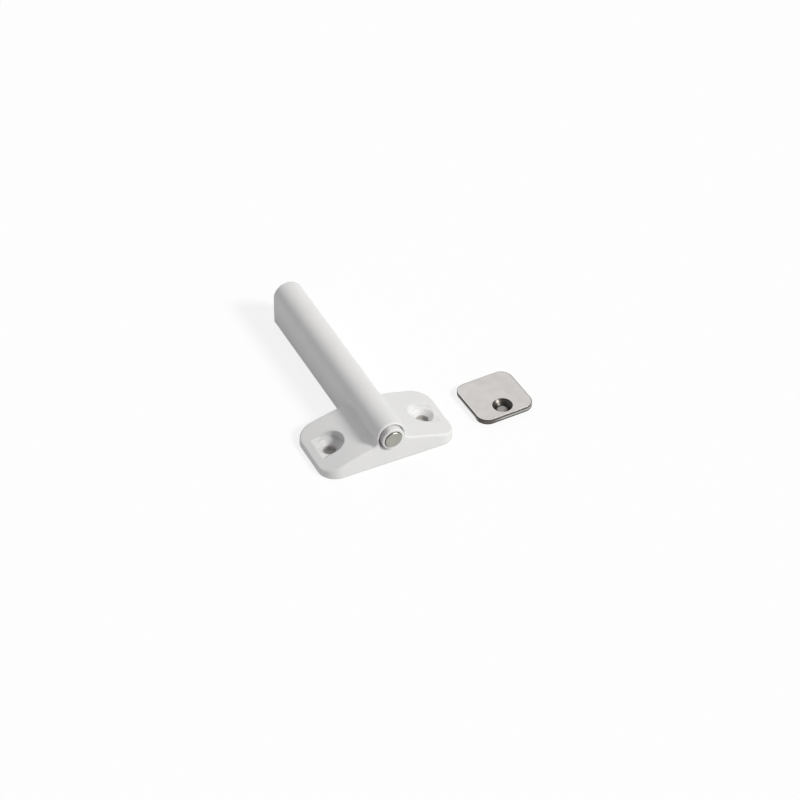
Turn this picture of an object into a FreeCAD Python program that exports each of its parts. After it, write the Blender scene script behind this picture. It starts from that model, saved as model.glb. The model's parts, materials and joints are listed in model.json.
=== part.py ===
import FreeCAD, Part
import Sketcher
import math
import os

# Push-to-open magnetic catch with its strike plate, in millimetres.
# The origin is midway between the two flange screws, on the mounting face.
# X runs across the flange, Y from the nose towards the back end, and Z up from the mounting face.

os.makedirs("parts", exist_ok=True)
doc = FreeCAD.newDocument("magnetic_catch")

# Driving dimensions: name, millimetres or degrees, what it is

SIZES = [
    ("barrel_length", 78.6, "front foot of the flange to the back end"),
    ("barrel_width", 10.0, "outside width of the arch section"),
    ("axis_height", 9.5, "plunger axis above the mounting face"),
    ("back_round", 0.7, "edge radius of the back end"),
    ("flange_width", 45.8, "wing tip to wing tip"),
    ("flange_depth", 24.2, "front foot to back foot"),
    ("flange_corner", 5.8, "corner radius in plan"),
    ("shoulder_height", 7.3, "wing height where it meets the barrel"),
    ("tip_height", 2.05, "wing height at its tip"),
    ("wing_bulge", 0.4, "rise of the wing's arc above its chord"),
    ("face_lean", 5.5, "draft of the front and back faces, degrees"),
    ("root_round", 2.0, "blend between barrel and wing"),
    ("edge_round", 0.7, "edge radius of the flange's top"),
    ("screw_spacing", 32.0, "between the two flange screws"),
    ("screw_hole", 4.2, "diameter"),
    ("screw_land", 1.4, "straight part of the screw hole"),
    ("screw_sink", 7.4, "diameter of the countersink"),
    ("recess_width", 9.2, "width of the recess round the screw head"),
    ("barrel_wall", 0.8, "thinnest wall round the plunger's bore"),
    ("mouth_bevel", 0.3, "edge bevel of the bore's mouth"),
    ("key_width", 1.5, "stop key on the plunger"),
    ("key_rise", 0.7, "how far the key stands out of the plunger"),
    ("key_gap", 0.15, "clearance round the key"),
    ("slot_setback", 3.0, "front foot to the front end of the key slot"),
    ("travel_in", 1.2, "extra push that trips the latch"),
    ("stop_gap", 0.1, "left between stop key and slot end when fully out"),
    ("running_gap", 0.05, "radial clearance of plunger in bore"),
    ("core_depth", 3.0, "depth of the cored channel under the barrel"),
    ("core_rib", 1.3, "thickness of the ribs across the channel"),
    ("core_count", 6, "pockets in the channel"),
    ("wing_core_setback", 1.1, "cored pocket from the barrel's side"),
    ("wing_core_width", 3.2, "cored pocket beside the barrel"),
    ("wing_core_depth", 4.4, "depth of the pocket"),
    ("foot_wall", 1.9, "wall left round the cored pockets"),
    ("nose_reach", 0.35, "plunger face ahead of the front foot, closed"),
    ("nose_step", 0.3, "plunger's side to the nose's, which is turned down"),
    ("nose_length", 2.4, "turned-down part of the nose"),
    ("nose_bevel", 0.25, "edge bevel of the plunger's nose"),
    ("spring_room", 13.75, "plunger's tail to the rear plug, closed"),
    ("nose_lip", 1.4, "plunger's side to the magnet's"),
    ("magnet_depth", 4.0, "thickness"),
    ("magnet_gap", 0.2, "radial gap round the magnet"),
    ("magnet_proud", 0.4, "magnet ahead of the plunger's face"),
    ("magnet_bevel", 0.15, "edge bevel"),
    ("flat_start", 13.0, "nose face to the start of the tail's flat"),
    ("flat_height", 1.4, "flat above the plunger axis"),
    ("track_depth", 1.0, "depth of the cam track"),
    ("lane_offset", 1.35, "side lanes of the cam track from its middle"),
    ("lane_gap", 0.15, "clearance at each side of the latch pin"),
    ("island_half", 0.8, "half width of the heart-shaped island"),
    ("island_length", 7.4, "lobes to point"),
    ("island_belly", 0.2, "rise of the island's curved sides"),
    ("pin_grip", 1.6, "track's open end past the latch pin when fully out"),
    ("notch_depth", 0.7, "depth of the latching notch"),
    ("spigot_length", 2.5, "spring spigot on the plunger's tail"),
    ("spring_side_gap", 0.4, "bore to the spring's outside"),
    ("spring_wire", 0.6, "diameter"),
    ("spring_turns", 5, "number of turns"),
    ("spring_gap", 0.15, "clearance at the spring's ends and spigot"),
    ("pin_wire", 0.8, "latch wire diameter"),
    ("pin_bend", 0.55, "bend radius of the latch wire's middle line"),
    ("wire_lift", 0.15, "latch wire above the flat"),
    ("pin_setback", 20.4, "nose face to the latch pin, closed"),
    ("pin_clear", 0.25, "latch pin above the track's floor"),
    ("plug_length", 4.0, "rear plug ahead of its head"),
    ("plug_head_wall", 0.5, "barrel's side to the plug's head"),
    ("plug_head_depth", 1.2, "thickness"),
    ("groove_gap", 0.3, "clearance at each side of the wire's groove"),
    ("anchor_setback", 1.6, "plug's front face to the latch wire's anchor"),
    ("anchor_depth", 2.2, "latch wire's leg in the plug"),
    ("plate_size", 19.5, "side of the strike plate"),
    ("plate_thickness", 1.9, "strike plate"),
    ("plate_corner", 3.9, "corner radius"),
    ("plate_edge", 0.18, "edge bevel"),
    ("plate_hole", 3.5, "screw hole diameter"),
    ("plate_sink", 6.5, "countersink diameter"),
    ("plate_hole_offset", 5.2, "screw hole from the plate's middle"),
    ("plate_right", 41.5, "plate's middle from the catch's middle"),
    ("plate_back", -0.2, "plate's middle behind the screw line"),
    ("plate_turn", 2.4, "plate's turn on the surface, degrees"),
    ("overrun", 2.0, "how far a cut runs past the solid"),
]


class Length:
    """A number that carries the sheet formula it was worked out with."""

    def __init__(self, value, formula):
        self.value = value
        self.formula = formula

    @staticmethod
    def of(thing):
        return thing if isinstance(thing, Length) else Length(float(thing), repr(float(thing)))

    def joined(self, other, sign, value):
        return Length(value, "(%s %s %s)" % (self.formula, sign, Length.of(other).formula))

    def __add__(self, other):
        return self.joined(other, "+", self.value + Length.of(other).value)

    def __sub__(self, other):
        return self.joined(other, "-", self.value - Length.of(other).value)

    def __mul__(self, other):
        return self.joined(other, "*", self.value * Length.of(other).value)

    def __truediv__(self, other):
        return self.joined(other, "/", self.value / Length.of(other).value)

    def __neg__(self):
        return Length(-self.value, "(-1 * %s)" % self.formula)


def tangent(angle):
    """Tangent of an angle that the sheet holds in degrees."""
    return Length(math.tan(math.radians(angle.value)), "tan(%s * 1 deg)" % angle.formula)


def root(number):
    return Length(math.sqrt(number.value), "sqrt(%s)" % number.formula)


def smaller(first, second):
    return Length(min(first.value, second.value), "min(%s; %s)" % (first.formula, second.formula))


def bearing(across, along):
    """Angle in degrees of a line that goes this far across and along."""
    value = math.degrees(math.atan2(across.value, along.value))
    return Length(value, "(atan(%s / %s) / 1 deg)" % (across.formula, along.formula))


# The sheet

sheet = doc.addObject("Spreadsheet::Sheet", "Sizes")
for row, (name, value, note) in enumerate(SIZES, start=1):
    sheet.set("A%d" % row, name)
    sheet.set("B%d" % row, str(value))
    sheet.set("C%d" % row, note)
    sheet.setAlias("B%d" % row, name)
doc.recompute()


def size(name):
    return Length(float(sheet.get(name)), "Sizes." + name)


# Building blocks shared by the sub-parts

def body_named(name):
    body = doc.addObject("PartDesign::Body", name)
    body.Label = name
    return body


def plane_of(body, role):
    for feature in body.Origin.OriginFeatures:
        if feature.Role == role:
            return feature


def new_sketch(body, name, role, lift=None):
    """Sketch on one of the body's own planes, lifted along the plane's normal."""
    sketch = body.newObject("Sketcher::SketchObject", name)
    sketch.AttachmentSupport = [(plane_of(body, role), "")]
    sketch.MapMode = "FlatFace"
    if lift is not None:
        sketch.AttachmentOffset = FreeCAD.Placement(FreeCAD.Vector(0, 0, lift.value), FreeCAD.Rotation())
        sketch.setExpression("AttachmentOffset.Base.z", lift.formula)
    return sketch


def pin_point(sketch, element, end, place):
    """Hold one end of a sketch element at its distances from the sketch's origin."""
    for kind, axis, distance in (("DistanceX", -2, place[0]), ("DistanceY", -1, place[1])):
        distance = Length.of(distance)
        if distance.value == 0 and distance.formula == "0.0":
            sketch.addConstraint(Sketcher.Constraint("PointOnObject", element, end, axis))
            continue
        index = sketch.addConstraint(Sketcher.Constraint(kind, -1, 1, element, end, distance.value))
        sketch.setExpression("Constraints[%d]" % index, distance.formula)


def bulged_arc(start, end, bulge):
    """Arc between two points whose middle stands bulge to the left of the chord, always anticlockwise."""
    chord = end - start
    left = FreeCAD.Vector(-chord.y, chord.x, 0).normalize()
    middle = (start + end) / 2 + left * bulge
    return Part.Arc(end, middle, start) if bulge > 0 else Part.Arc(start, middle, end)


def hold_centre(sketch, element, corner, following):
    """Fix an arc between two fixed ends by one distance of its centre, which its rise gives."""
    across = Length.of(following[0]) - corner[0]
    along = Length.of(following[1]) - corner[1]
    rise = Length.of(corner[2])
    chord = root(across * across + along * along)
    share = chord / (rise * 8.0) - rise / (chord * 2.0)
    if abs(across.value) >= abs(along.value):
        place = (Length.of(following[1]) + corner[1]) / 2.0 - across * share
        kind = "DistanceY"
    else:
        place = (Length.of(following[0]) + corner[0]) / 2.0 + along * share
        kind = "DistanceX"
    index = sketch.addConstraint(Sketcher.Constraint(kind, -1, 1, element, 3, place.value))
    sketch.setExpression("Constraints[%d]" % index, place.formula)


def outline(sketch, corners):
    """Closed outline: (x, y) starts a straight side, and (x, y, bulge) starts an arc of that rise."""
    chain(sketch, corners + [corners[0]], True)


def chain(sketch, corners, closed=False):
    """Sides and arcs from corner to corner, each end held at its own place."""
    count = len(corners) - 1
    spots = [FreeCAD.Vector(Length.of(c[0]).value, Length.of(c[1]).value, 0) for c in corners]
    first = len(sketch.Geometry)
    ends = []
    for i, corner in enumerate(corners[:count]):
        start, end = spots[i], spots[i + 1]
        if len(corner) == 2:
            sketch.addGeometry(Part.LineSegment(start, end))
            ends.append((1, 2))
            continue
        arc = bulged_arc(start, end, Length.of(corner[2]).value)
        sketch.addGeometry(arc)
        circle = sketch.Geometry[first + i]
        ends.append((1, 2) if circle.StartPoint.distanceToPoint(start) < 1e-6 else (2, 1))
    for i, corner in enumerate(corners[:count]):
        pin_point(sketch, first + i, ends[i][0], corner)
        after = (i + 1) % count
        if after or closed:
            sketch.addConstraint(Sketcher.Constraint(
                "Coincident", first + i, ends[i][1], first + after, ends[after][0]))
        else:
            pin_point(sketch, first + i, ends[i][1], corners[-1])
        if len(corner) == 3:
            hold_centre(sketch, first + i, corner, corners[i + 1])


def circle_at(sketch, x, y, diameter):
    centre = FreeCAD.Vector(Length.of(x).value, Length.of(y).value, 0)
    index = sketch.addGeometry(Part.Circle(centre, FreeCAD.Vector(0, 0, 1), diameter.value / 2))
    pin_point(sketch, index, 3, (x, y))
    held = sketch.addConstraint(Sketcher.Constraint("Diameter", index, diameter.value))
    sketch.setExpression("Constraints[%d]" % held, diameter.formula)


def hexagon_at(sketch, x, y, width):
    """Six-sided section of a thin wire, with few facets."""
    x, y = Length.of(x), Length.of(y)
    reach = width / 2
    half = reach / 2
    rise = root(reach * reach - half * half)
    outline(sketch, [
        (x + reach, y),
        (x + half, y + rise),
        (x - half, y + rise),
        (x - reach, y),
        (x - half, y - rise),
        (x + half, y - rise),
    ])


def turning_line(sketch, start, end):
    """Construction line that a revolved profile turns about."""
    ends = [FreeCAD.Vector(Length.of(p[0]).value, Length.of(p[1]).value, 0) for p in (start, end)]
    index = sketch.addGeometry(Part.LineSegment(ends[0], ends[1]), True)
    pin_point(sketch, index, 1, start)
    pin_point(sketch, index, 2, end)


def extrude(body, kind, name, sketch, length=None, reverse=False, symmetric=False):
    """Pad or Pocket of a sketch. With no length it goes through everything."""
    feature = body.newObject("PartDesign::" + kind, name)
    feature.Profile = sketch
    feature.SideType = "Symmetric" if symmetric else "One side"
    feature.Reversed = reverse
    if length is None:
        feature.Type = "ThroughAll"
    else:
        feature.Length = length.value
        feature.setExpression("Length", length.formula)
    return feature


def revolve(body, kind, name, sketch):
    """Revolution or Groove of a sketch about its construction line."""
    feature = body.newObject("PartDesign::" + kind, name)
    feature.Profile = sketch
    feature.ReferenceAxis = (sketch, ["Axis0"])
    feature.Angle = 360
    return feature


def dress(body, kind, name, amount, test):
    """Fillet or Chamfer on the edges of the body so far that pass a test."""
    doc.recompute()
    base = body.Tip
    edges = ["Edge%d" % (i + 1) for i, edge in enumerate(base.Shape.Edges) if test(edge)]
    feature = body.newObject("PartDesign::" + kind, name)
    feature.Base = (base, edges)
    prop = "Radius" if kind == "Fillet" else "Size"
    setattr(feature, prop, amount.value)
    feature.setExpression(prop, amount.formula)
    doc.recompute()
    return feature


def mirror_across(body, name, features, role):
    feature = body.newObject("PartDesign::Mirrored", name)
    feature.Originals = features
    feature.MirrorPlane = (plane_of(body, role), [""])
    body.Tip = feature
    return feature


def close(a, b, slack=0.01):
    return abs(a - b) < slack


def spots_of(edge):
    """Ends and middle of an edge."""
    middle = edge.valueAt((edge.FirstParameter + edge.LastParameter) / 2)
    return [edge.valueAt(edge.FirstParameter), middle, edge.valueAt(edge.LastParameter)]


# How edges are told apart, and how much of a wall a blend may take

STUB = 0.4
TOP_SHARE = 0.7
QUARTER = 1 - math.cos(math.pi / 4)
FILLET_SHARE = 0.95

# Places that several sub-parts share

front = -(size("flange_depth") / 2)
flange_back = size("flange_depth") / 2
back = front + size("barrel_length")
half_barrel = size("barrel_width") / 2
half_flange = size("flange_width") / 2
axis = size("axis_height")
bore_half = half_barrel - size("barrel_wall")
lean = tangent(size("face_lean"))
barrel_top = axis + half_barrel

plug_front = back - size("plug_head_depth") - size("plug_length")
plunger_half = bore_half - size("running_gap")
nose = front - size("nose_reach")
tail = plug_front - size("spring_room")
pin_place = nose + size("pin_setback")
travel_out = tail - pin_place - size("pin_grip")
slot_front = front + size("slot_setback")
key_front = slot_front + travel_out + size("stop_gap")
anchor = plug_front + size("anchor_setback")
seat = back - size("plug_head_depth")
head_half = half_barrel - size("plug_head_wall")
flat = axis + size("flat_height")
magnet_half = plunger_half - size("nose_lip")
spring_half = bore_half - size("spring_side_gap")
overrun = size("overrun")
key_foot = axis - plunger_half - size("key_rise")
wire_height = flat + size("wire_lift") + size("pin_wire") / 2


def housing():
    """Barrel and flange, one moulding: leaning front and back faces, arched wings, bore and cored foot."""
    body = body_named("housing")
    shape_wings(body)
    shape_barrel(body)
    cut_bore(body)
    core_foot(body)
    cut_screw_holes(body)
    return body


def shape_wings(body):
    profile = new_sketch(body, "wing_profile", "XZ_Plane", -front)
    shoulder = size("shoulder_height")
    tip = size("tip_height")
    fall = -size("wing_bulge")
    outline(profile, [
        (-half_flange, 0),
        (half_flange, 0),
        (half_flange, tip, fall),
        (half_barrel, shoulder),
        (-half_barrel, shoulder, fall),
        (-half_flange, tip),
    ])
    extrude(body, "Pad", "wings", profile, size("flange_depth"), reverse=True)

    behind = new_sketch(body, "back_lean", "YZ_Plane")
    outline(behind, [
        (flange_back, 0),
        (flange_back - barrel_top * lean, barrel_top),
        (flange_back, barrel_top),
    ])
    extrude(body, "Pocket", "back_face", behind, symmetric=True)


def shape_barrel(body):
    arch = new_sketch(body, "barrel_profile", "XZ_Plane", -front)
    outline(arch, [
        (-half_barrel, 0),
        (half_barrel, 0),
        (half_barrel, axis, -half_barrel),
        (-half_barrel, axis),
    ])
    extrude(body, "Pad", "barrel", arch, size("barrel_length"), reverse=True)

    ahead = new_sketch(body, "front_lean", "YZ_Plane")
    outline(ahead, [
        (front, 0),
        (front + barrel_top * 2 * lean, barrel_top * 2),
        (front, barrel_top * 2),
    ])
    extrude(body, "Pocket", "front_face", ahead, symmetric=True)

    tip = size("tip_height").value
    wide = half_flange.value
    narrow = half_barrel.value

    def plan_corner(edge):
        low, middle, high = spots_of(edge)
        return close(abs(low.x), wide) and close(abs(high.x), wide) and abs(high.z - low.z) > tip / 2

    dress(body, "Fillet", "plan_corners", size("flange_corner"), plan_corner)

    def wing_root(edge):
        low, middle, high = spots_of(edge)
        along = close(low.z, high.z) and not close(low.y, high.y)
        beside = 0 < middle.z < axis.value and close(abs(middle.x), narrow)
        return along and beside and not close(middle.z, 0) and not close(middle.z, axis.value)

    room = (axis - size("shoulder_height")) * FILLET_SHARE
    dress(body, "Fillet", "wing_roots", smaller(size("root_round"), room), wing_root)

    def back_end(edge):
        low, middle, high = spots_of(edge)
        return close(low.y, back.value) and close(middle.y, back.value) and not close(middle.z, 0)

    dress(body, "Fillet", "back_edge", size("back_round"), back_end)

    def flange_top(edge):
        low, middle, high = spots_of(edge)
        face_in_front = close(middle.y, front.value + middle.z * lean.value, 0.02)
        face_behind = close(middle.y, flange_back.value - middle.z * lean.value, 0.02)
        at_side = close(abs(middle.x), wide) and close(middle.z, tip, 0.05)
        in_corner = abs(middle.x) > wide - size("flange_corner").value and abs(high.z - low.z) < tip
        at_rim = face_in_front or face_behind or at_side or in_corner
        on_barrel = close(abs(low.x), narrow) and close(abs(high.x), narrow) and middle.y > 0
        upper = middle.z > tip * TOP_SHARE
        return at_rim and upper and edge.Length > STUB and not on_barrel

    dress(body, "Fillet", "top_edges", size("edge_round"), flange_top)


def cut_bore(body):
    """One revolved cut for the plunger's bore and the seat of the rear plug's head, then the key's slot."""
    profile = new_sketch(body, "bore_profile", "YZ_Plane")
    seat_half = head_half + size("running_gap")
    outline(profile, [
        (front - overrun, axis),
        (front - overrun, axis + bore_half),
        (seat, axis + bore_half),
        (seat, axis + seat_half),
        (back + overrun, axis + seat_half),
        (back + overrun, axis),
    ])
    turning_line(profile, (front - overrun, axis), (back + overrun, axis))
    revolve(body, "Groove", "bore", profile)

    slot = new_sketch(body, "key_slot_profile", "XZ_Plane", -slot_front)
    half = size("key_width") / 2 + size("key_gap")
    outline(slot, [
        (-half, key_foot - size("key_gap")),
        (half, key_foot - size("key_gap")),
        (half, axis),
        (-half, axis),
    ])
    extrude(body, "Pocket", "key_slot", slot, seat - slot_front)

    def mouth(edge):
        low, middle, high = spots_of(edge)
        radius = math.hypot(middle.x, middle.z - axis.value)
        return close(radius, bore_half.value) and middle.y < slot_front.value

    dress(body, "Chamfer", "mouth", size("mouth_bevel"), mouth)


def core_foot(body):
    """Pockets that keep the moulding's walls even, open towards the mounting face."""
    wall = size("foot_wall")
    half = half_barrel - wall
    run = size("barrel_length") - wall * 2
    count = size("core_count")
    pocket = (run - size("core_rib") * (count - 1)) / count
    start = front + wall
    channel = new_sketch(body, "channel_profile", "XY_Plane")
    outline(channel, [
        (-half, start),
        (half, start),
        (half, start + pocket),
        (-half, start + pocket),
    ])
    first = extrude(body, "Pocket", "channel", channel, size("core_depth"), reverse=True)
    row = body.newObject("PartDesign::LinearPattern", "channel_row")
    row.Originals = [first]
    row.Direction = (plane_of(body, "Y_Axis"), [""])
    row.Length = (run - pocket).value
    row.setExpression("Length", (run - pocket).formula)
    row.Occurrences = int(count.value)
    row.setExpression("Occurrences", count.formula)
    body.Tip = row

    inner = half_barrel + size("wing_core_setback")
    near = front + wall + size("core_rib")
    far = flange_back - wall - size("core_rib")
    outer = inner + size("wing_core_width")
    beside = new_sketch(body, "wing_pocket_profile", "XY_Plane")
    outline(beside, [
        (inner, near),
        (outer, near),
        (outer, far),
        (inner, far),
    ])
    right = extrude(body, "Pocket", "wing_pocket", beside, size("wing_core_depth"), reverse=True)
    mirror_across(body, "wing_pockets", [right], "YZ_Plane")


def cut_screw_holes(body):
    """Screw hole, countersink and flat recess, turned, then the recess run out over the tip, and mirrored."""
    place = size("screw_spacing") / 2
    land = size("screw_land")
    hole_half = size("screw_hole") / 2
    sink_half = size("screw_sink") / 2
    recess_half = size("recess_width") / 2
    floor = land + sink_half - hole_half
    profile = new_sketch(body, "screw_profile", "XZ_Plane")
    outline(profile, [
        (place, -overrun),
        (place + hole_half, -overrun),
        (place + hole_half, land),
        (place + sink_half, floor),
        (place + recess_half, floor),
        (place + recess_half, barrel_top),
        (place, barrel_top),
    ])
    turning_line(profile, (place, -overrun), (place, barrel_top))
    hole = revolve(body, "Groove", "screw_hole", profile)

    beyond = half_flange + overrun
    open_end = new_sketch(body, "run_out_profile", "XY_Plane", floor)
    outline(open_end, [
        (place, -recess_half),
        (beyond, -recess_half),
        (beyond, recess_half),
        (place, recess_half),
    ])
    run_out = extrude(body, "Pocket", "run_out", open_end, barrel_top - floor, reverse=True)
    mirror_across(body, "screw_holes", [hole, run_out], "YZ_Plane")


def add_key(body, start, end):
    """Key along the underside that runs in the housing's slot and stops the plunger."""
    half = size("key_width") / 2
    foot = new_sketch(body, "key_profile", "XY_Plane", key_foot)
    outline(foot, [(-half, start), (half, start), (half, end), (-half, end)])
    extrude(body, "Pad", "key", foot, size("key_rise") + size("key_width"))


def plunger():
    """Round nose with the magnet's pocket, then a D-section tail with the cam track cut in its flat."""
    body = body_named("plunger")
    pocket_end = nose - size("magnet_proud") + size("magnet_depth")
    pocket_half = magnet_half + size("magnet_gap")
    spigot_half = spring_half - size("spring_wire") - size("spring_gap")
    end = tail + size("spigot_length")
    nose_half = plunger_half - size("nose_step")
    step_end = nose + size("nose_length")
    edge = size("nose_bevel")
    profile = new_sketch(body, "turned_profile", "YZ_Plane")
    outline(profile, [
        (pocket_end, axis),
        (pocket_end, axis + pocket_half),
        (nose, axis + pocket_half),
        (nose, axis + nose_half - edge),
        (nose + edge, axis + nose_half),
        (step_end, axis + nose_half),
        (step_end, axis + plunger_half),
        (tail, axis + plunger_half),
        (tail, axis + spigot_half),
        (end, axis + spigot_half),
        (end, axis),
    ])
    turning_line(profile, (pocket_end, axis), (end, axis))
    revolve(body, "Revolution", "turned", profile)

    start = nose + size("flat_start")
    low = flat - size("track_depth")
    above = axis + plunger_half + overrun
    step = new_sketch(body, "flat_profile", "YZ_Plane")
    outline(step, [
        (start, flat),
        (tail, flat),
        (tail, low),
        (end + overrun, low),
        (end + overrun, above),
        (start, above),
    ])
    extrude(body, "Pocket", "flat", step, symmetric=True)

    pin_half = size("pin_wire") / 2
    lane_half = size("lane_offset") + pin_half + size("lane_gap")
    mouth_half = pin_half + size("lane_gap") * 2
    lane_front = pin_place - size("travel_in") - size("pin_wire")
    lobes = pin_place + pin_half + size("lane_gap") - size("notch_depth")
    point = lobes + size("island_length")
    track = new_sketch(body, "cam_track", "XY_Plane", flat)
    outline(track, [
        (-lane_half, lane_front, -pin_half),
        (lane_half, lane_front),
        (lane_half, point),
        (mouth_half, tail + overrun),
        (-mouth_half, tail + overrun),
        (-lane_half, point),
    ])
    island = size("island_half")
    belly = -size("island_belly")
    outline(track, [
        (-island, lobes),
        (0, lobes + size("notch_depth")),
        (island, lobes, belly),
        (0, point, belly),
    ])
    extrude(body, "Pocket", "track", track, size("track_depth"))
    add_key(body, key_front, tail - size("key_width"))
    return body


def magnet():
    """Disc with bevelled edges, glued in the plunger's nose."""
    body = body_named("magnet")
    face = nose - size("magnet_proud")
    end = face + size("magnet_depth")
    half = magnet_half
    bevel = size("magnet_bevel")
    profile = new_sketch(body, "disc_profile", "YZ_Plane")
    outline(profile, [
        (face, axis),
        (face, axis + half - bevel),
        (face + bevel, axis + half),
        (end - bevel, axis + half),
        (end, axis + half - bevel),
        (end, axis),
    ])
    turning_line(profile, (face, axis), (end, axis))
    revolve(body, "Revolution", "disc", profile)
    return body


def spring():
    """Compression spring round the plunger's spigot, seated on the rear plug."""
    body = body_named("spring")
    start = tail + size("spring_gap")
    end = plug_front - size("spring_gap")
    wire = size("spring_wire")
    mean = spring_half - wire / 2
    section = new_sketch(body, "wire_section", "YZ_Plane")
    hexagon_at(section, start + wire / 2, axis + mean, wire)
    turning_line(section, (start, axis), (end, axis))
    coil = body.newObject("PartDesign::AdditiveHelix", "coil")
    coil.Profile = section
    coil.ReferenceAxis = (section, ["Axis0"])
    coil.Mode = "height-turns-angle"
    height = end - start - wire
    coil.Height = height.value
    coil.setExpression("Height", height.formula)
    coil.Turns = size("spring_turns").value
    coil.setExpression("Turns", size("spring_turns").formula)
    return body


def latch_wire():
    """Bent wire: a leg in the rear plug, a long arm over the plunger's flat and a pin in the cam track."""
    body = body_named("latch_wire")
    bend = size("pin_bend")
    pin_foot = flat - size("track_depth") + size("pin_clear")
    leg_foot = flat - size("anchor_depth")
    route = new_sketch(body, "wire_route", "YZ_Plane")
    rise = bend * QUARTER
    chain(route, [
        (pin_place, pin_foot),
        (pin_place, wire_height - bend, rise),
        (pin_place + bend, wire_height),
        (anchor - bend, wire_height, rise),
        (anchor, wire_height - bend),
        (anchor, leg_foot),
    ])
    section = new_sketch(body, "wire_section", "XY_Plane", pin_foot)
    hexagon_at(section, 0, pin_place, size("pin_wire"))
    pipe = body.newObject("PartDesign::AdditivePipe", "wire")
    pipe.Profile = section
    pipe.Spine = (route, [])

    turn = bearing(size("lane_offset"), anchor - pin_place)
    sine = Length(math.sin(math.radians(turn.value)), "sin(%s * 1 deg)" % turn.formula)
    cosine = Length(math.cos(math.radians(turn.value)), "cos(%s * 1 deg)" % turn.formula)
    place(body, anchor * sine, anchor - anchor * cosine, turn)
    return body


def place(body, x, y, turn):
    """Set a body down at x, y, turned about the upright axis."""
    body.Placement = FreeCAD.Placement(
        FreeCAD.Vector(Length.of(x).value, Length.of(y).value, 0),
        FreeCAD.Rotation(FreeCAD.Vector(0, 0, 1), turn.value))
    body.setExpression("Placement.Base.x", Length.of(x).formula)
    body.setExpression("Placement.Base.y", Length.of(y).formula)
    body.setExpression("Placement.Rotation.Angle", "%s * 1 deg" % turn.formula)


def rear_plug():
    """Pressed-in plug whose head is let into the barrel's end. It holds the latch wire's leg."""
    body = body_named("rear_plug")
    profile = new_sketch(body, "turned_profile", "YZ_Plane")
    outline(profile, [
        (plug_front, axis),
        (plug_front, axis + plunger_half),
        (seat, axis + plunger_half),
        (seat, axis + head_half),
        (back, axis + head_half),
        (back, axis),
    ])
    turning_line(profile, (plug_front, axis), (back, axis))
    revolve(body, "Revolution", "turned", profile)

    wire = size("pin_wire")
    groove_half = wire / 2 + size("groove_gap")
    groove = new_sketch(body, "wire_groove", "XY_Plane", flat)
    outline(groove, [
        (-groove_half, plug_front - overrun),
        (groove_half, plug_front - overrun),
        (groove_half, anchor + groove_half),
        (-groove_half, anchor + groove_half),
    ])
    extrude(body, "Pocket", "groove", groove, reverse=True)

    leg = new_sketch(body, "leg_hole", "XY_Plane", flat)
    circle_at(leg, 0, anchor, wire + size("running_gap") * 2)
    extrude(body, "Pocket", "leg_bore", leg, size("anchor_depth") + size("key_gap"))
    add_key(body, plug_front, seat)
    return body


def strike_plate():
    """Square steel plate with rounded corners and one countersunk hole off its middle."""
    body = body_named("strike_plate")
    half = size("plate_size") / 2
    inner = half - size("plate_corner")
    swell = -(size("plate_corner") * QUARTER)
    square = new_sketch(body, "plate_outline", "XY_Plane")
    outline(square, [
        (-inner, -half),
        (inner, -half, swell),
        (half, -inner),
        (half, inner, swell),
        (inner, half),
        (-inner, half, swell),
        (-half, inner),
        (-half, -inner, swell),
    ])
    extrude(body, "Pad", "plate", square, size("plate_thickness"))

    thickness = size("plate_thickness")
    place_y = -size("plate_hole_offset")
    hole_half = size("plate_hole") / 2
    sink_half = size("plate_sink") / 2
    profile = new_sketch(body, "hole_profile", "YZ_Plane")
    outline(profile, [
        (place_y, -overrun),
        (place_y + hole_half, -overrun),
        (place_y + hole_half, thickness - sink_half + hole_half),
        (place_y + sink_half, thickness),
        (place_y + sink_half, thickness + overrun),
        (place_y, thickness + overrun),
    ])
    turning_line(profile, (place_y, -overrun), (place_y, thickness + overrun))
    revolve(body, "Groove", "screw_hole", profile)

    def outer_edge(edge):
        low, middle, high = spots_of(edge)
        level = close(low.z, high.z) and close(low.z, middle.z)
        outside = max(abs(middle.x), abs(middle.y)) > inner.value
        from_hole = math.hypot(middle.x, middle.y - place_y.value)
        return level and outside and from_hole > sink_half.value + STUB

    dress(body, "Chamfer", "edges", size("plate_edge"), outer_edge)
    place(body, size("plate_right"), size("plate_back"), size("plate_turn"))
    return body


# Build, check and write each sub-part

parts = [housing(), plunger(), magnet(), spring(), latch_wire(), rear_plug(), strike_plate()]
doc.recompute()
for thing in doc.Objects:
    if "Invalid" in thing.State or "Error" in thing.State:
        raise RuntimeError("%s failed: %s" % (thing.Name, thing.State))
for part in parts:
    if part.Shape.isNull() or not part.Shape.isValid() or len(part.Shape.Solids) != 1:
        raise RuntimeError("%s is not one sound solid" % part.Label)
for part in parts:
    part.Shape.exportStep("parts/%s.step" % part.Label)
    print(part.Label, round(part.Shape.Volume, 2), part.Shape.optimalBoundingBox())
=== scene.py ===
# %% [markdown]
# # A white push-to-open magnetic catch and its strike plate
#
# The object is a cabinet catch, moulded in white plastic. A long barrel with an arched section
# lies across a short flange with two screw recesses, and a magnet sits in the nose of the plunger
# that the barrel hides. A square steel plate lies beside it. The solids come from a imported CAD
# model, so this lesson is about what solids don't have: soft edges, the skin of moulded plastic,
# drawn and plated steel, and studio light.

# %% Load the solids
import json
import math

import bpy
import numpy as np
from mathutils import Matrix, Vector

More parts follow.
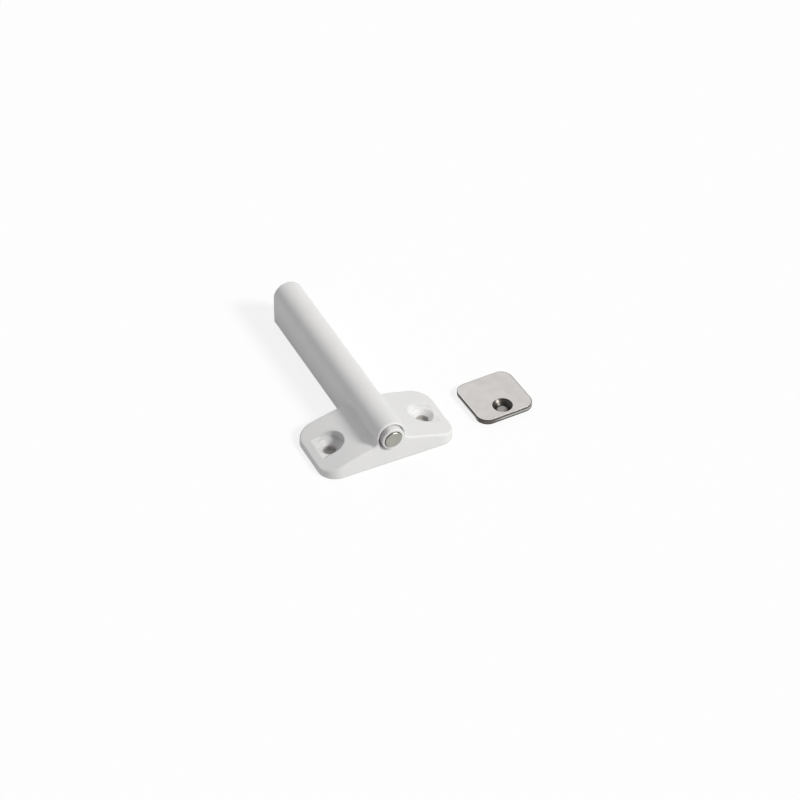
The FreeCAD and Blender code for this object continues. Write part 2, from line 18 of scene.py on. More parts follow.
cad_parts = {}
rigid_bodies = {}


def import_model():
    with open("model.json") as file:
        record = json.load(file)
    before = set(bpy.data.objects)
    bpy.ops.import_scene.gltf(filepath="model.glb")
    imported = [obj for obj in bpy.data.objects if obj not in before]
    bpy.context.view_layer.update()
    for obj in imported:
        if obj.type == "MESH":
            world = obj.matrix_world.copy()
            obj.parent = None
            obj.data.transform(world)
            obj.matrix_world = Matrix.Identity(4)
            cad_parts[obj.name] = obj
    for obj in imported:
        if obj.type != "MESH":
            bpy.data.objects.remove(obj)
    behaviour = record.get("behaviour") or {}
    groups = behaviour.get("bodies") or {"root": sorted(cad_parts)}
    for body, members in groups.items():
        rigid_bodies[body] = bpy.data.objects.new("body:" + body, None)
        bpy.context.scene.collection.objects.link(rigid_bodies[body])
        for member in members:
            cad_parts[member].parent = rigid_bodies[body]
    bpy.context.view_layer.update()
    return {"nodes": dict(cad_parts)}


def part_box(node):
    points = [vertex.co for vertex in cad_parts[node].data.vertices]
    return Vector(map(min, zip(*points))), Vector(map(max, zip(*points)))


for leftover in list(bpy.data.objects):
    bpy.data.objects.remove(leftover)
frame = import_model()
MM = 0.001
print("solids:", sorted(frame["nodes"]))

# %% [markdown]
# ## Camera
#
# The photograph was taken from the front left and above, with a long lens, so the edges hardly
# converge. The camera's place was worked out by fitting the corners of the flange, barrel and
# plate. A small turn of the camera, and not a lens shift, puts the object where it stands in the
# picture.

# %% Camera
PLACE = Vector((-0.31546, -0.66153, 0.65930))
LOOK = Vector((0.3299, 0.6798, -0.6550)).normalized()
FOCAL_PIXELS = 3152.2
FRAME_PIXELS = 800
TURN_RIGHT_PIXELS, TURN_DOWN_PIXELS = 8, 20


def camera_axes(look):
    """Right and up of a level camera: right is look x Z, and up is right x look."""
    right = look.cross(Vector((0, 0, 1))).normalized()
    return right, right.cross(look)


right, up = camera_axes(LOOK)
aim = LOOK + (right * TURN_RIGHT_PIXELS - up * TURN_DOWN_PIXELS) / FOCAL_PIXELS
aim.normalize()
right, up = camera_axes(aim)
camera_data = bpy.data.cameras.new("camera")
camera_data.sensor_width = 36
camera_data.lens = camera_data.sensor_width * FOCAL_PIXELS / FRAME_PIXELS
camera_data.clip_start = 0.05
camera_data.clip_end = 20
camera = bpy.data.objects.new("camera", camera_data)
bpy.context.scene.collection.objects.link(camera)
turned = Matrix((right, up, -aim)).transposed().to_4x4()
camera.matrix_world = Matrix.Translation(PLACE) @ turned
bpy.context.scene.camera = camera
print("lens %.1f mm, %.3f m from the origin" % (camera_data.lens, PLACE.length))

# %% [markdown]
# ## Helpers for node trees
#
# A finish is mostly arithmetic on the place of a point: how far it is from a screw's axis, or how
# high it lies on the plate's edge. A few helpers keep that arithmetic readable. Most of them take
# numbers, colours or sockets and give back a socket, so that one call can stand inside another.

# %% Nodes and links


def feed(tree, sockets, values):
    """Gives each input socket a number, a colour, or a link from an output socket."""
    for socket, value in zip(sockets, values):
        if isinstance(value, bpy.types.NodeSocket):
            tree.links.new(value, socket)
        else:
            socket.default_value = value


def node(tree, kind, **values):
    """New shader node. Capitalised keywords feed sockets, and the others set properties."""
    made = tree.nodes.new(kind)
    for key, value in values.items():
        if key[0].isupper():
            feed(tree, [made.inputs[key.replace("_", " ")]], [value])
        else:
            setattr(made, key, value)
    return made


print("helpers: feed, node")

# %% Arithmetic


def calc(tree, operation, *values):
    """Result of one Math node."""
    made = node(tree, "ShaderNodeMath", operation=operation)
    feed(tree, made.inputs, values)
    return made.outputs[0]


def product(tree, first, *others):
    """All values multiplied."""
    for other in others:
        first = calc(tree, "MULTIPLY", first, other)
    return first


def length_of(tree, x, y):
    """Root of x squared plus y squared."""
    return calc(tree, "SQRT", calc(tree, "ADD", product(tree, x, x), product(tree, y, y)))


def rise(tree, value, low, high, start=0.0, end=1.0, curve="LINEAR"):
    """Start below low, end above high, and a straight line or another curve between."""
    made = node(tree, "ShaderNodeMapRange", interpolation_type=curve)
    feed(tree, made.inputs, [value, low, high, start, end])
    return made.outputs[0]


def band(tree, value, start, full, falling, end):
    """1 from full to falling, and 0 before start and after end."""
    return product(tree, rise(tree, value, start, full), rise(tree, value, falling, end, 1.0, 0.0))


print("helpers: calc, product, length_of, rise, band")

# %% Mixing and taking apart


def choose(tree, factor, first, second):
    """Number between first (factor 0) and second (factor 1)."""
    made = node(tree, "ShaderNodeMix", data_type="FLOAT")
    sockets = [made.inputs[label] for label in ("Factor", "A", "B")]
    feed(tree, sockets, [factor, first, second])
    return made.outputs["Result"]


def blend(tree, factor, first, second):
    """Colour between first (factor 0) and second (factor 1), each a tuple of three or a socket."""
    made = node(tree, "ShaderNodeMix", data_type="RGBA")
    first, second = [(*c, 1) if isinstance(c, tuple) else c for c in (first, second)]
    feed(tree, [made.inputs["Factor"], made.inputs[6], made.inputs[7]], [factor, first, second])
    return made.outputs[2]


def blend_shaders(tree, factor, first, second):
    """Shader between first (factor 0) and second (factor 1), both given as nodes."""
    made = node(tree, "ShaderNodeMixShader")
    feed(tree, made.inputs, [factor, first.outputs[0], second.outputs[0]])
    return made


def parts_of(tree, vector):
    """The three parts of a vector."""
    split = node(tree, "ShaderNodeSeparateXYZ")
    feed(tree, split.inputs, [vector])
    return tuple(split.outputs)


print("helpers: choose, blend, blend_shaders, parts_of")

# %% Start and end of a tree
COLUMN_WIDTH, ROW_HEIGHT = 220, 240


def empty_material(name):
    """Material without nodes. Returns the material and its tree."""
    material = bpy.data.materials.new(name)
    material.use_nodes = True
    material.node_tree.nodes.clear()
    return material, material.node_tree


def tidy(tree):
    """Sets the nodes in columns by how many links lie between them and the output."""
    depth = {one.name: 0 for one in tree.nodes}
    for _ in range(len(tree.nodes)):
        for link in tree.links:
            before, after = link.from_node.name, link.to_node.name
            depth[before] = max(depth[before], depth[after] + 1)
    rows = {}
    for one in tree.nodes:
        column = depth[one.name]
        rows[column] = rows.get(column, 0) + 1
        one.location = (-COLUMN_WIDTH * column, -ROW_HEIGHT * rows[column])


def close_tree(tree, shader, output="ShaderNodeOutputMaterial"):
    """Links the last shader to the output and sets the nodes in columns."""
    feed(tree, node(tree, output).inputs, [shader.outputs[0]])
    tidy(tree)


def dress(tree, skin, colour, rough, bump):
    """Links colour, roughness and bump to a Principled shader, and closes the tree."""
    sockets = [skin.inputs[label] for label in ("Base Color", "Roughness", "Normal")]
    feed(tree, sockets, [colour, rough, bump.outputs[0]])
    close_tree(tree, skin)


print("helpers: empty_material, tidy, close_tree, dress")

# %% [markdown]
# ## Shared effects
#
# Moulded plastic copies the mould's spark-eroded skin: a fine, even grain that breaks up the
# gloss. Plated steel has such a grain too, with a cloudier tone. The grain is one node group on
# object coordinates in millimetres, so that every finish can set its own grain size and cloud
# size.

# %% Grain group


def new_group(name, inputs, outputs):
    """Empty shader node group of numbers. Inputs are {name: default}, and outputs are names."""
    group = bpy.data.node_groups.new(name, "ShaderNodeTree")
    for label, default in inputs.items():
        socket = group.interface.new_socket(label, in_out="INPUT", socket_type="NodeSocketFloat")
        socket.default_value = default
    for label in outputs:
        group.interface.new_socket(label, in_out="OUTPUT", socket_type="NodeSocketFloat")
    return group, node(group, "NodeGroupInput").outputs, node(group, "NodeGroupOutput").inputs


def object_mm(tree):
    """Place of the shaded point in the object's own coordinates, in millimetres."""
    where = node(tree, "ShaderNodeTexCoord")
    scaled = node(tree, "ShaderNodeVectorMath", operation="SCALE", Scale=1 / MM)
    feed(tree, scaled.inputs, [where.outputs["Object"]])
    return scaled.outputs[0]


SIZES = {"Grains per mm": 4.0, "Clouds per mm": 0.08}
grain, given, result = new_group("grain", SIZES, ["Grain", "Cloud"])
spot = object_mm(grain)
fine = node(grain, "ShaderNodeTexNoise", Vector=spot, Detail=3.0, Roughness=0.6)
broad = node(grain, "ShaderNodeTexNoise", Vector=spot, Detail=2.0, Roughness=0.5)
feed(grain, [fine.inputs["Scale"], broad.inputs["Scale"]], given)
feed(grain, result, [fine.outputs["Fac"], broad.outputs["Fac"]])
tidy(grain)
print("group:", grain.name, [item.name for item in grain.interface.items_tree])

# %% Grain in a finish
NOISE_SPAN = (0.3, 0.7)  # most values of a noise lie between these two


def grain_at(tree, grains, clouds):
    """Grain and cloud of the grain group, with so many grains and clouds per millimetre."""
    made = node(tree, "ShaderNodeGroup", node_tree=grain)
    feed(tree, made.inputs, [grains, clouds])
    return made.outputs["Grain"], made.outputs["Cloud"]


print("helper: grain_at")

# %% [markdown]
# A screw hole is a place with its own look: hardly any light gets in, so its wall is painted dark,
# as painted shade.
# The mask is 1 nearer to an upright axis than a radius, and 0 elsewhere.
# The housing's holes, the plate's countersink and the sheet below the holes need it, so it is a
# group as well.

# %% Round mask group
AXIS = {"X mm": 0.0, "Y mm": 0.0, "Radius mm": 1.0, "Soft mm": 0.05}
round_mask, given, result = new_group("round_mask", AXIS, ["Inside", "Distance mm"])
x, y, _ = parts_of(round_mask, object_mm(round_mask))
away = length_of(
    round_mask,
    calc(round_mask, "SUBTRACT", x, given["X mm"]),
    calc(round_mask, "SUBTRACT", y, given["Y mm"]),
)
beyond = calc(round_mask, "SUBTRACT", away, given["Radius mm"])
beyond = calc(round_mask, "DIVIDE", beyond, given["Soft mm"])
inside = node(round_mask, "ShaderNodeClamp", Value=calc(round_mask, "SUBTRACT", 0.5, beyond))
feed(round_mask, result, [inside.outputs[0], away])
tidy(round_mask)


def near_axis(tree, x, y, radius, soft):
    """Mask and distance of the round mask group about an upright axis, all in millimetres."""
    made = node(tree, "ShaderNodeGroup", node_tree=round_mask)
    feed(tree, made.inputs, [x, y, radius, soft])
    return made.outputs["Inside"], made.outputs["Distance mm"]


print("group:", round_mask.name, [item.name for item in round_mask.interface.items_tree])

# %% [markdown]
# ## Floor
#
# A white sheet of paper lies under the object. It is far larger than the picture, so that no edge
# of it shows from any side.

# %% Floor
PAPER_HALF = 3.0
PAPER_BELOW = 0.02 * MM
corners = np.array([(-1, -1, 0), (1, -1, 0), (1, 1, 0), (-1, 1, 0)], float) * PAPER_HALF
corners[:, 2] = -PAPER_BELOW
floor_mesh = bpy.data.meshes.new("floor")
floor_mesh.from_pydata(corners.tolist(), [], [(0, 1, 2, 3)])
floor = bpy.data.objects.new("floor", floor_mesh)
bpy.context.scene.collection.objects.link(floor)
print("sheet: %.0f m wide" % (2 * PAPER_HALF))

# %% [markdown]
# Below the screw holes hardly any light arrives, so the paper there is painted a dark grey, a
# painted shade that only shows through the holes. The two holes of the flange lie on the X axis.
# The plate is turned a little, and its hole lies off its middle, so that hole's place is worked
# out from the plate's box and its turn.

# %% Places of the three holes
SCREW_SPACING = 32.0
PLATE_TURN = math.radians(2.4)
PLATE_HOLE_OFFSET = 5.2
left_x, right_x = -SCREW_SPACING / 2, SCREW_SPACING / 2
plate_middle = np.mean(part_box("strike_plate"), axis=0) / MM
plate_hole = (
    plate_middle[0] + PLATE_HOLE_OFFSET * math.sin(PLATE_TURN),
    plate_middle[1] - PLATE_HOLE_OFFSET * math.cos(PLATE_TURN),
)
print("plate middle %.2f, %.2f mm, hole %.2f, %.2f mm" % (*plate_middle[:2], *plate_hole))

# %% [markdown]
# Looked at directly, most of the paper's white comes from an emission of strength 1, so it stays
# white to the edge of the picture and still darkens a little in the object's shadow. For the
# light that it throws back on the object it is a light grey diffuse paper.

# %% Paper of the sheet
PAPER_WHITE = (0.995, 0.995, 0.995)
PAPER_BOUNCE = (0.68, 0.68, 0.68)
GLOW_SHARE = 0.80
SPOT_EDGE = 0.001
SPOT_TINT = (1.0, 0.97, 0.95)
# Painted shade: the paper is coloured dark grey below the three holes.
HOLE_SHADE_SPOTS = [  # x, y, radius, grey
    (left_x, 0.0, 2.6, 0.44),
    (right_x, 0.0, 2.6, 0.60),
    (*plate_hole, 2.4, 0.36),
]
paper, tree = empty_material("white_sheet")
colour, dark = PAPER_WHITE, 0.0
for x, y, radius, grey in HOLE_SHADE_SPOTS:
    inside, _ = near_axis(tree, x, y, radius, SPOT_EDGE)
    colour = blend(tree, inside, colour, tuple(part * grey for part in SPOT_TINT))
    dark = calc(tree, "MAXIMUM", dark, inside)
lit = node(
    tree, "ShaderNodeBsdfPrincipled", Base_Color=colour, Roughness=0.9, Specular_IOR_Level=0.1
)
glow = node(tree, "ShaderNodeEmission", Color=(*PAPER_WHITE, 1))
seen = blend_shaders(tree, rise(tree, dark, 0.0, 1.0, GLOW_SHARE, 0.0), lit, glow)
thrown = node(tree, "ShaderNodeBsdfDiffuse", Color=(*PAPER_BOUNCE, 1))
rays = node(tree, "ShaderNodeLightPath").outputs
looked_at = calc(tree, "MAXIMUM", rays["Is Camera Ray"], rays["Is Glossy Ray"])
close_tree(tree, blend_shaders(tree, looked_at, thrown, seen))
floor_mesh.materials.append(paper)
print("paper:", len(HOLE_SHADE_SPOTS), "dark spots")

# %% [markdown]
# ## Light
#
# One soft lamp stands at the front right, nearly 40 degrees up, so the barrel's left side and the
# left wing fall into a mild shade, and a weak one behind lifts the far edges. The lamps'
# directions and strengths were found by rendering the plastic under one lamp at a time and
# solving for the sum that comes nearest to the photograph, which is possible because light simply
# adds up.
#
# The sky lights everything evenly and is plain white where the camera sees it. Steel mirrors a
# studio that is brighter on one side, so for mirrored rays the sky rises from grey to pale
# towards that side.

# %% Sky
AMBIENT = 0.412
SKY_COLOUR = (0.99, 0.975, 1.0, 1)
BRIGHT_SIDE = Vector((0.4, 0.62, 0.67)).normalized()
BRIGHT_FROM, BRIGHT_AT = 0.0, 0.85  # cosine of the angle to the bright side
MIRRORED_LOW, MIRRORED_HIGH = 0.30, 0.72
world = bpy.data.worlds.new("studio")
world.use_nodes = True
bpy.context.scene.world = world
tree = world.node_tree
tree.nodes.clear()
toward = node(tree, "ShaderNodeVectorMath", operation="DOT_PRODUCT")
feed(tree, toward.inputs, [node(tree, "ShaderNodeTexCoord").outputs["Generated"], BRIGHT_SIDE])
cosine = toward.outputs["Value"]
mirrored = rise(
    tree, cosine, BRIGHT_FROM, BRIGHT_AT, MIRRORED_LOW, MIRRORED_HIGH, "SMOOTHSTEP"
)
rays = node(tree, "ShaderNodeLightPath").outputs
strength = choose(tree, rays["Is Glossy Ray"], AMBIENT, mirrored)
seen = calc(tree, "MAXIMUM", rays["Is Camera Ray"], rays["Is Transmission Ray"])
strength = choose(tree, seen, strength, 1.0)
close_tree(
    tree,
    node(tree, "ShaderNodeBackground", Color=SKY_COLOUR, Strength=strength),
    "ShaderNodeOutputWorld",
)
print("sky: %.2f of white" % AMBIENT)

# %% Lamps
LAMP_COLOUR = (1.0, 0.998, 0.975)
LAMPS = {  # azimuth, elevation, share of white, width of the lamp; all but the share in degrees
    "front_lamp": (311, 38.5, 0.775, 15),
    "back_lamp": (90, 40, 0.11, 45),
}


def soft_lamp(name, azimuth, elevation, share, width):
    """Far lamp that gives a surface facing it a share of white. Returns the floor's share."""
    turn, lift = math.radians(azimuth), math.radians(elevation)
    level = math.cos(lift)
    toward = Vector((math.cos(turn) * level, math.sin(turn) * level, math.sin(lift)))
    data = bpy.data.lights.new(name, "SUN")
    data.energy = share * math.pi
    data.angle = math.radians(width)
    data.color = LAMP_COLOUR
    lamp = bpy.data.objects.new(name, data)
    lamp.rotation_mode = "QUATERNION"
    lamp.rotation_quaternion = toward.to_track_quat("Z", "Y")
    lamp.location = toward
    bpy.context.scene.collection.objects.link(lamp)
    return share * toward.z


on_floor = AMBIENT + sum(soft_lamp(name, *setting) for name, setting in LAMPS.items())
print("light on the floor: %.2f of white" % on_floor)

# %% [markdown]
# ## White moulded plastic
#
# The housing and the plunger are satin white, a little warm where the lamp reaches. Their colour
# is even, with a barely greyer cloud here and there. The grain varies the roughness and makes a
# very shallow bump. Moulded edges are never quite sharp, so a bevel normal softens the ones that
# the solids leave sharp.
#
# On the left of the nose and in the screw recesses the photograph shows other tones than these
# lamps give. Rubbing and dust may be the cause, which is a guess. There the colour carries
# painted light and painted shade: masks that blend another tone over the colour.

# %% Painted shade on the nose
NOSE_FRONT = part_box("plunger")[0][1] / MM
NOSE_SHADE_GREY = (0.50, 0.48, 0.48)
NOSE_SHADE_ALONG = (NOSE_FRONT - 0.75, NOSE_FRONT + 0.55, NOSE_FRONT + 2.6, NOSE_FRONT + 3.4)
NOSE_SHADE_ACROSS = (-2.3, -0.6)


def painted_nose_shade(tree, colour):
    """Painted shade: greyer on the left of the nose, from a little behind its front to the bore.
    """
    x, y, _ = parts_of(tree, object_mm(tree))
    mark = product(tree, band(tree, y, *NOSE_SHADE_ALONG), rise(tree, x, *NOSE_SHADE_ACROSS, 1.0, 0.0))
    return blend(tree, mark, colour, NOSE_SHADE_GREY)


print("nose front at %.2f mm" % NOSE_FRONT)

# %% Plastic
PLASTIC_GRAINS, PLASTIC_CLOUDS = 5.0, 0.08
PLASTIC_CLOUD_SPAN = (0.35, 0.65)
SATIN = (0.42, 0.54)
GRAIN_DEPTH = 0.010 * MM


def moulded_plastic(name, light, shade, soft_edge, painted_tones=(), nose_shade=False):
    """Satin white plastic between two tones.

    soft_edge is the radius of the soft edges. A painted tone, painted light where it is lighter
    and painted shade where it is darker, is x, y, radius, width of its edge, and tone. All lengths
    are in mm.
    """
    material, tree = empty_material(name)
    grains, clouds = grain_at(tree, PLASTIC_GRAINS, PLASTIC_CLOUDS)
    colour = blend(tree, rise(tree, clouds, *PLASTIC_CLOUD_SPAN), shade, light)
    # Painted light and painted shade, each blended over the colour in a round mask.
    for *where, tone in painted_tones:
        colour = blend(tree, near_axis(tree, *where)[0], colour, tone)
    # Painted shade on the left of the nose.
    if nose_shade:
        colour = painted_nose_shade(tree, colour)
    rough = rise(tree, grains, *NOISE_SPAN, *SATIN)
    edge = node(tree, "ShaderNodeBevel", samples=8, Radius=soft_edge * MM)
    bump = node(tree, "ShaderNodeBump", Strength=0.25, Distance=GRAIN_DEPTH, Height=grains)
    feed(tree, [bump.inputs["Normal"]], [edge.outputs[0]])
    skin = node(tree, "ShaderNodeBsdfPrincipled", IOR=1.5, Specular_IOR_Level=0.35)
    dress(tree, skin, colour, rough, bump)
    return material


print("plastic: roughness %.2f to %.2f" % SATIN)

# %% [markdown]
# The two screw recesses carry painted light and shade. The left one's cone is painted greyer, most
# of all on the side of the barrel, as painted shade. The right one is painted a little lighter, as
# painted light, apart from the left of its cone, which is painted a little darker as painted
# shade.
# The walls of both holes are painted dark, as painted shade. The tones are set to the photograph,
# and their causes are guesses.

# %% Painted light and shade in the screw recesses
HOLE_WALL = 2.11
RECESS_WALL = 4.62
CRISP = 0.05
# Painted tones: the darker ones are painted shade, the lighter right recess is painted light.
PAINTED_RECESS_TONES = [  # x, y, radius, width of the edge, tone
    (left_x, 0.0, 3.2, 1.6, (0.54, 0.54, 0.545)),
    (left_x + 0.6, 1.8, 3.0, 2.0, (0.59, 0.59, 0.59)),
    (left_x, 0.0, HOLE_WALL, CRISP, (0.48, 0.456, 0.437)),
    (right_x, 0.0, RECESS_WALL, CRISP, (0.79, 0.79, 0.785)),
    (right_x - 0.8, 0.4, 2.9, 1.2, (0.70, 0.70, 0.695)),
    (right_x, 0.0, HOLE_WALL, CRISP, (0.42, 0.40, 0.38)),
]
print("marks:", len(PAINTED_RECESS_TONES))

# %% Housing and plunger
HOUSING_EDGE, PLUNGER_EDGE = 0.45, 0.06
housing_white = moulded_plastic(
    "housing_white", (0.735, 0.735, 0.725), (0.715, 0.715, 0.710), HOUSING_EDGE, PAINTED_RECESS_TONES
)
plunger_white = moulded_plastic(
    "plunger_white", (0.76, 0.76, 0.75), (0.74, 0.74, 0.735), PLUNGER_EDGE, nose_shade=True
)
print("plastic:", housing_white.name, plunger_white.name)

# %% [markdown]
# ## The strike plate
#
# The plate is stamped from rolled, plated sheet. Stamping leaves three bands on its edge: a
# rounded top, a burnished land where the punch sheared, and a rough break below; their dark, light
# and dark colours are partly the steel's own and partly painted reflection and painted shade. The
# countersink is cut afterwards with a turning tool, so it is smooth, with fine rings; its
# near-black colour is painted shade. Bands and rings are read from the point's place on the plate,
# in millimetres from its middle and along its own sides.

# %% Place on the plate
PLATE_SIZE = 19.5
PLATE_CORNER = 3.9


def plate_place(tree):
    """Vector, across, along and height, in mm from the plate's middle and along its sides."""
    where = node(tree, "ShaderNodeTexCoord")
    lay = node(tree, "ShaderNodeMapping", vector_type="TEXTURE")
    middle = (plate_middle[0] * MM, plate_middle[1] * MM, 0)
    feed(tree, lay.inputs, [where.outputs["Object"], middle, (0, 0, PLATE_TURN), (MM, MM, MM)])
    return lay.outputs[0], *parts_of(tree, lay.outputs[0])


def inside_rim(tree, across, along):
    """How far a point lies inside the plate's outline, in millimetres.

    Past the corner's centre, x and y count as |across| - flat and |along| - flat, and before it
    as 0. The distance is the corner radius less the length of (x, y).
    """
    flat = PLATE_SIZE / 2 - PLATE_CORNER
    past = []
    for side in (across, along):
        over = calc(tree, "SUBTRACT", calc(tree, "ABSOLUTE", side), flat)
        past.append(calc(tree, "MAXIMUM", over, 0.0))
    return calc(tree, "SUBTRACT", PLATE_CORNER, length_of(tree, *past))


print("plate: %.1f mm square, corners %.1f mm" % (PLATE_SIZE, PLATE_CORNER))

# %% [markdown]
# The top keeps the skin of the rolled sheet: streaks along the rolling direction and soft clouds
# from the plating bath. Its rim is rolled over a little by the punch, and its colour carries a
# painted highlight on the near sides and painted shade on the far sides.

# %% Top of the plate
STEEL_DARK, STEEL_LIGHT = (0.605, 0.590, 0.570), (0.665, 0.652, 0.628)
STREAK_LIGHT = (0.80, 0.78, 0.77)
STREAKS_PER_MM = (2.5, 0.35, 2.5)
STREAK_SPAN, STREAK_SHARE = (0.3, 0.75), 0.16
BATH_GRAIN = (6.0, 0.30)
BATH_CLOUD_SPAN = (0.32, 0.68)
FAR_SIDES = (-1.0, 2.0)  # across + along, where the near sides turn into the far ones
# Painted shade along the far sides of the rim and a painted highlight along the near sides.
PAINTED_RIM_SHADE, SHADE_WIDTH, SHADE_SHARE = (0.22, 0.21, 0.20), (0.25, 0.55), 0.55
PAINTED_RIM_HIGHLIGHT, SHINE_WIDTH, SHINE_SHARE = (0.86, 0.85, 0.83), (0.25, 0.60), 0.35


def sheet_tone(tree, place, across, along):
    """Colour of the top, and its streaks as a value, which drives roughness and bump too."""
    stretch = node(tree, "ShaderNodeVectorMath", operation="MULTIPLY")
    feed(tree, stretch.inputs, [place, STREAKS_PER_MM])
    rolled = node(tree, "ShaderNodeTexNoise", Scale=1.0, Detail=4.0, Roughness=0.6)
    feed(tree, rolled.inputs, [stretch.outputs[0]])
    streaks = rolled.outputs["Fac"]
    _, clouds = grain_at(tree, *BATH_GRAIN)
    tone = blend(tree, rise(tree, clouds, *BATH_CLOUD_SPAN), STEEL_DARK, STEEL_LIGHT)
    streaked = rise(tree, streaks, *STREAK_SPAN, 0.0, STREAK_SHARE)
    tone = blend(tree, streaked, tone, STREAK_LIGHT)
    rim = inside_rim(tree, across, along)
    far = rise(tree, calc(tree, "ADD", across, along), *FAR_SIDES)
    near = calc(tree, "SUBTRACT", 1.0, far)
    # The rim's painted shade and painted highlight.
    shade = product(tree, far, rise(tree, rim, *SHADE_WIDTH, SHADE_SHARE, 0.0))
    shine = product(tree, near, rise(tree, rim, *SHINE_WIDTH, SHINE_SHARE, 0.0))
    tone = blend(tree, shade, tone, PAINTED_RIM_SHADE)
    return blend(tree, shine, tone, PAINTED_RIM_HIGHLIGHT), streaks


print("top: streaks, clouds and rim")

# %% [markdown]
# The edge has three bands: dark at the rolled-over top, lighter at the burnished land, dark at
# the break; their tones are partly the steel's own and partly painted reflection and painted
# shade.
# On the left side a light land, a painted reflection of the sheet, lies low and the rest is dark.
# Towards the front corner the land fades out, as a painted dark reflection.

# %% Edge of the plate
PLATE_THICKNESS = 1.9
# Edge tones: partly the steel's own, partly painted reflection and painted shade.
EDGE_DARK = (0.115, 0.108, 0.100)
LAND_LIGHT = (0.52, 0.515, 0.50)
LOW_LAND_REFLECTION = (0.88, 0.875, 0.86)
LAND_HEIGHTS = (0.55, 0.75, 1.25, 1.40)
LOW_LAND_HEIGHTS = (0.75, 1.05)
EDGE_HEIGHTS = (0.005, 0.02, PLATE_THICKNESS - 0.04, PLATE_THICKNESS - 0.01)
LEFT_SIDE = (-9.2, -8.2)  # across
LOW_LAND_ALONG = (-7.0, -4.5)
FRONT_CORNER, FRONT_SHARE = (-16.0, -12.0), 0.15  # across + along


def edge_tone(tree, across, along, height):
    """Colour of the edge from the height above the underside, and a mask that is 1 on the edge."""
    land = band(tree, height, *LAND_HEIGHTS)
    # Painted dark reflection towards the front corner; painted reflection of the sheet low on the
    # left side.
    past_corner = rise(tree, calc(tree, "ADD", across, along), *FRONT_CORNER, FRONT_SHARE, 1.0)
    left = rise(tree, across, *LEFT_SIDE, 1.0, 0.0)
    burnish_and_reflection = product(tree, land, past_corner, calc(tree, "SUBTRACT", 1.0, left))
    low = rise(tree, height, *LOW_LAND_HEIGHTS, 1.0, 0.0)
    low_land = product(tree, low, rise(tree, along, *LOW_LAND_ALONG), left)
    tone = blend(tree, burnish_and_reflection, EDGE_DARK, LAND_LIGHT)
    tone = blend(tree, low_land, tone, LOW_LAND_REFLECTION)
    return tone, band(tree, height, *EDGE_HEIGHTS)


print("edge: three bands over %.1f mm" % PLATE_THICKNESS)

# %% [markdown]
# In the photograph the countersink's cone is nearly black, with a lighter ring halfway up. Thin
# plating at its bottom and the mark of a cutter are guesses at the cause. The near-black colour
# is painted shade and the lighter ring a painted highlight. The fine turned rings are a sine of
# the distance from the hole's axis.

# %% Countersink of the plate
SINK_RADIUS, SINK_SOFT = 3.26, 0.02
# Painted shade over the whole cone, and a painted highlight in a ring halfway up.
SINK_PAINTED_SHADE, SINK_PAINTED_HIGHLIGHT = (0.070, 0.064, 0.058), (0.118, 0.110, 0.103)
SINK_BAND = (2.30, 2.65, 2.85, 3.15)
RINGS_PER_MM = 40.0 / (2 * math.pi)


def sink_tone(tree):
    """Colour of the countersink, a mask that is 1 in it, and its rings as a wave from -1 to 1."""
    in_sink, away = near_axis(tree, *plate_hole, SINK_RADIUS, SINK_SOFT)
    rings = calc(tree, "SINE", calc(tree, "MULTIPLY", away, 2 * math.pi * RINGS_PER_MM))
    halfway = band(tree, away, *SINK_BAND)
    return blend(tree, halfway, SINK_PAINTED_SHADE, SINK_PAINTED_HIGHLIGHT), in_sink, rings


print("countersink: %.1f rings per mm" % RINGS_PER_MM)

# %% Stamped steel
TOP_ROUGH, EDGE_ROUGH, SINK_ROUGH = (0.42, 0.50), 0.62, (0.34, 0.42)
PLATE_EDGE = 0.12
RELIEF_DEPTH = 0.004 * MM


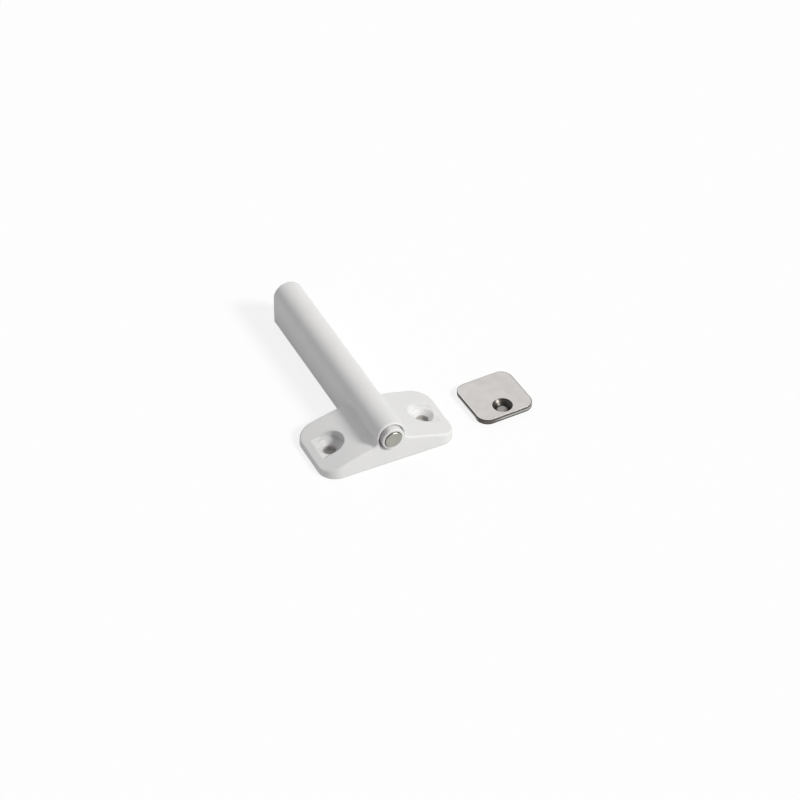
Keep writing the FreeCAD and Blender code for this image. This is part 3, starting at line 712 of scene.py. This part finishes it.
def stamped_steel(name):
    """Satin plated sheet with banded edges and a smooth, ringed countersink painted dark as shade.
    """
    material, tree = empty_material(name)
    place, across, along, height = plate_place(tree)
    colour, streaks = sheet_tone(tree, place, across, along)
    side, on_side = edge_tone(tree, across, along, height)
    sink, in_sink, rings = sink_tone(tree)
    colour = blend(tree, in_sink, blend(tree, on_side, colour, side), sink)
    rough = choose(tree, on_side, rise(tree, streaks, *NOISE_SPAN, *TOP_ROUGH), EDGE_ROUGH)
    rough = choose(tree, in_sink, rough, rise(tree, rings, -1.0, 1.0, *SINK_ROUGH))
    edge = node(tree, "ShaderNodeBevel", samples=8, Radius=PLATE_EDGE * MM)
    relief = choose(tree, in_sink, streaks, rise(tree, rings, -1.0, 1.0, *NOISE_SPAN))
    bump = node(tree, "ShaderNodeBump", Strength=0.3, Distance=RELIEF_DEPTH, Height=relief)
    feed(tree, [bump.inputs["Normal"]], [edge.outputs[0]])
    dress(tree, node(tree, "ShaderNodeBsdfPrincipled", Metallic=1.0), colour, rough, bump)
    return material


plate_steel = stamped_steel("plate_steel")
print("finish:", plate_steel.name, len(plate_steel.node_tree.nodes), "nodes")

# %% [markdown]
# ## Magnet, spring and latch wire
#
# The magnet has a warm grey nickel skin, tumbled before plating, so it is even and satin. The
# spring and the latch wire are drawn steel wire, hidden in the barrel.

# %% Even steel
CLOUDS_PER_MM = 0.5
STEEL_GRAIN_DEPTH = 0.003 * MM


def even_steel(name, light, shade, roughness, grains_per_mm):
    """Metal between two tones by cloud, with roughness from a pair and a shallow bump by grain."""
    material, tree = empty_material(name)
    grains, clouds = grain_at(tree, grains_per_mm, CLOUDS_PER_MM)
    colour = blend(tree, rise(tree, clouds, *NOISE_SPAN), shade, light)
    rough = rise(tree, grains, *NOISE_SPAN, *roughness)
    bump = node(tree, "ShaderNodeBump", Strength=0.3, Distance=STEEL_GRAIN_DEPTH, Height=grains)
    dress(tree, node(tree, "ShaderNodeBsdfPrincipled", Metallic=1.0), colour, rough, bump)
    return material


nickel = even_steel("magnet_nickel", (0.43, 0.42, 0.38), (0.38, 0.375, 0.345), (0.36, 0.48), 5.0)
wire_steel = even_steel("wire_steel", (0.50, 0.50, 0.50), (0.42, 0.42, 0.42), (0.25, 0.38), 8.0)
print("finish:", nickel.name, wire_steel.name)

# %% Finishes on the solids
FINISH = {
    "housing": housing_white,
    "rear_plug": housing_white,
    "plunger": plunger_white,
    "magnet": nickel,
    "spring": wire_steel,
    "latch_wire": wire_steel,
    "strike_plate": plate_steel,
}
for name, finish in FINISH.items():
    for slot in frame["nodes"][name].material_slots:
        slot.material = finish
print("finished:", {name: len(frame["nodes"][name].material_slots) for name in FINISH})

# %% Picture settings
bpy.context.scene.view_settings.view_transform = "Standard"
